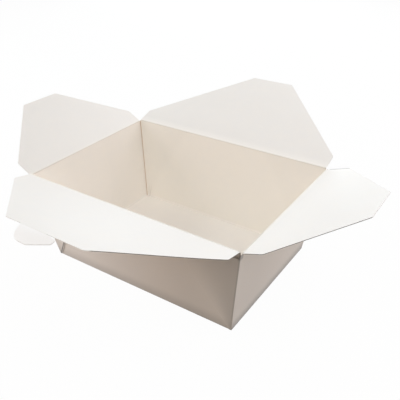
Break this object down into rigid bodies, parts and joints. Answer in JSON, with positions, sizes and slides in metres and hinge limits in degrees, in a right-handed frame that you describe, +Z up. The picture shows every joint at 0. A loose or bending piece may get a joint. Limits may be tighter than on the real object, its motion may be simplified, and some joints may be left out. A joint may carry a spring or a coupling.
{
  "type": "takeout food box",
  "caption": "Open folded paperboard food box with tapered walls, folded web corners and hinged closing flaps, the front one with a lock tab.",
  "frame": {"origin": "centre of the base, on the surface that the box stands on", "axes": "+Z up out of the mouth, +X to the right end, +Y to the back flap, -Y to the flap with the lock tab"},
  "size_m": [0.3591, 0.356, 0.1232],
  "materials": {
    "tray_board": "coated white paperboard, satin",
    "flap_board": "coated white paperboard, satin"
  },
  "bodies": {
    "box_body": {"tray": "tray_board"},
    "left_flap_body": {"left_end_flap": "flap_board"},
    "right_flap_body": {"right_end_flap": "flap_board"},
    "back_flap_body": {"back_flap": "flap_board"},
    "front_flap_body": {"front_flap": "flap_board"}
  },
  "joints": [
    {"name": "left_flap_crease", "type": "hinge", "parent": "box_body", "child": "left_flap_body", "pos_m": [-0.1105, 0, 0.0875], "axis": [0, 1, 0], "range_deg": [-73, 152]},
    {"name": "right_flap_crease", "type": "hinge", "parent": "box_body", "child": "right_flap_body", "pos_m": [0.1105, 0, 0.0875], "axis": [0, -1, 0], "range_deg": [-64.5, 160.5]},
    {"name": "back_flap_crease", "type": "hinge", "parent": "box_body", "child": "back_flap_body", "pos_m": [0, 0.07936, 0.0884], "axis": [1, 0, 0], "range_deg": [-63.5, 161.5]},
    {"name": "front_flap_crease", "type": "hinge", "parent": "box_body", "child": "front_flap_body", "pos_m": [0, -0.07948, 0.0893], "axis": [-1, 0, 0], "range_deg": [-60, 161]}
  ]
}
